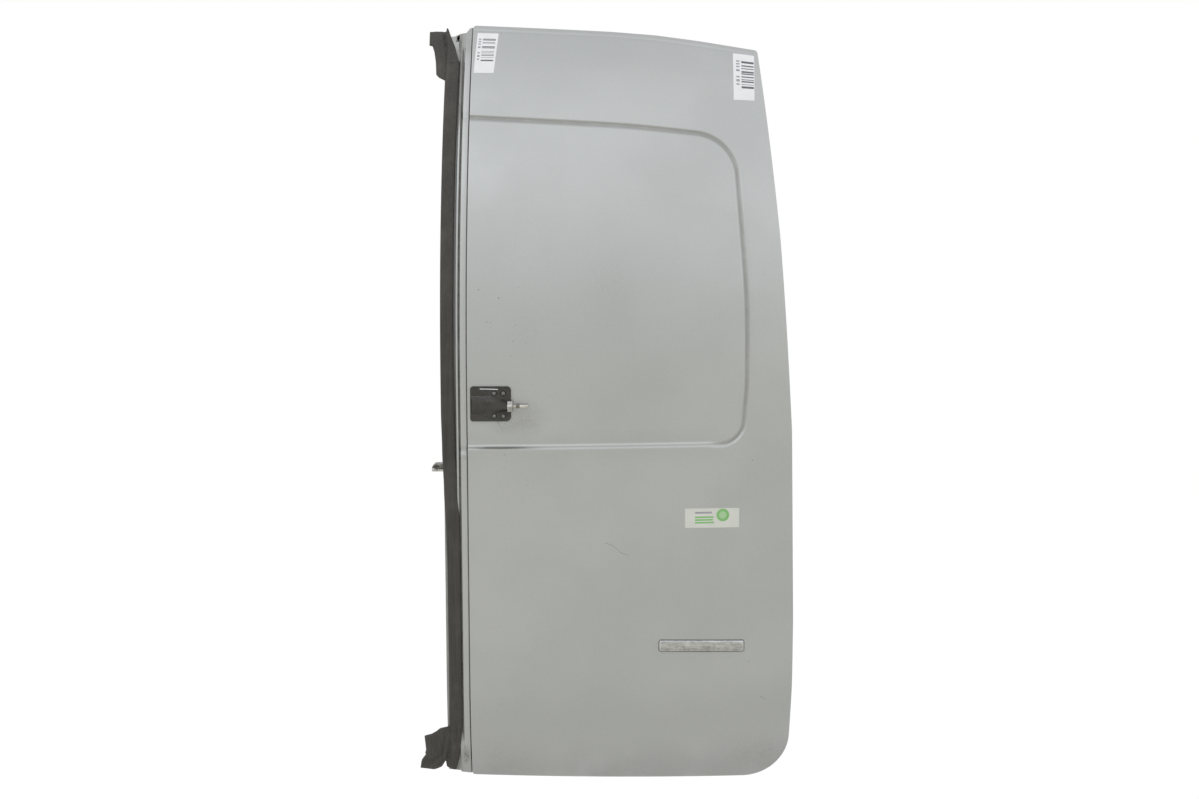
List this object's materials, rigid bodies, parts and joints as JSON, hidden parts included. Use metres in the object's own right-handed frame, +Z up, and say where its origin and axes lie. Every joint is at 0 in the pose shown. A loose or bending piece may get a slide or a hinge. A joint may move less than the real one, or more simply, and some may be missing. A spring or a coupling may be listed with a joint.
{
  "type": "van rear door",
  "caption": "Right-hand rear door leaf of a small panel van: painted steel skin with a pressed window blank, stepped meeting flange with rubber seal, lock keeper and hinge pads.",
  "frame": {"origin": "middle of the flat outer face of the lower hinge pad, on the side wall at the hinge edge", "axes": "+X from the meeting edge towards the hinges, square to the hinge pads' faces; +Y from the outer skin into the van; +Z up along the upright lower half of the door"},
  "size_m": [0.6203, 0.2608, 1.257],
  "materials": {
    "paint": "silver-grey metallic paint under clear lacquer, scuffed",
    "paint_inside": "silver-grey paint, thinner and duller than outside",
    "seal_rubber": "matt black moulded rubber, dusty",
    "lock_black": "black powder coat",
    "bare_steel": "plain machined steel",
    "zinc": "dull yellowish zinc plating",
    "brass": "dull brass",
    "chrome": "polished chrome"
  },
  "bodies": {
    "root": {"outer_skin": "paint", "inner_panel": "paint_inside", "meeting_flange": "paint", "waist_rail": "paint_inside", "anti_flutter_bar_upper": "paint_inside", "anti_flutter_bar_middle": "paint_inside", "anti_flutter_bar_lower": "paint_inside", "hinge_reinforcement_upper": "paint_inside", "hinge_reinforcement_lower": "paint_inside", "hinge_pad_upper": "paint", "hinge_pad_lower": "paint", "hinge_nuts_upper": "bare_steel", "hinge_nuts_lower": "bare_steel", "meeting_seal": "seal_rubber", "seal_top_moulding": "seal_rubber", "seal_bottom_moulding": "seal_rubber", "lock_plate": "lock_black", "lock_housing": "lock_black", "lock_screws": "lock_black", "lock_nut": "bare_steel", "lock_pin": "brass", "striker_plate": "zinc", "striker_bracket": "zinc", "striker_roller": "bare_steel", "latch_upper": "zinc", "latch_lower": "zinc", "latch_claw_upper": "bare_steel", "latch_claw_lower": "bare_steel", "latch_rod_upper": "bare_steel", "latch_rod_lower": "bare_steel", "release_housing": "lock_black", "release_lever": "lock_black", "buffer_upper": "seal_rubber", "buffer_lower": "seal_rubber", "trim_bar": "chrome"}
  },
  "joints": []
}
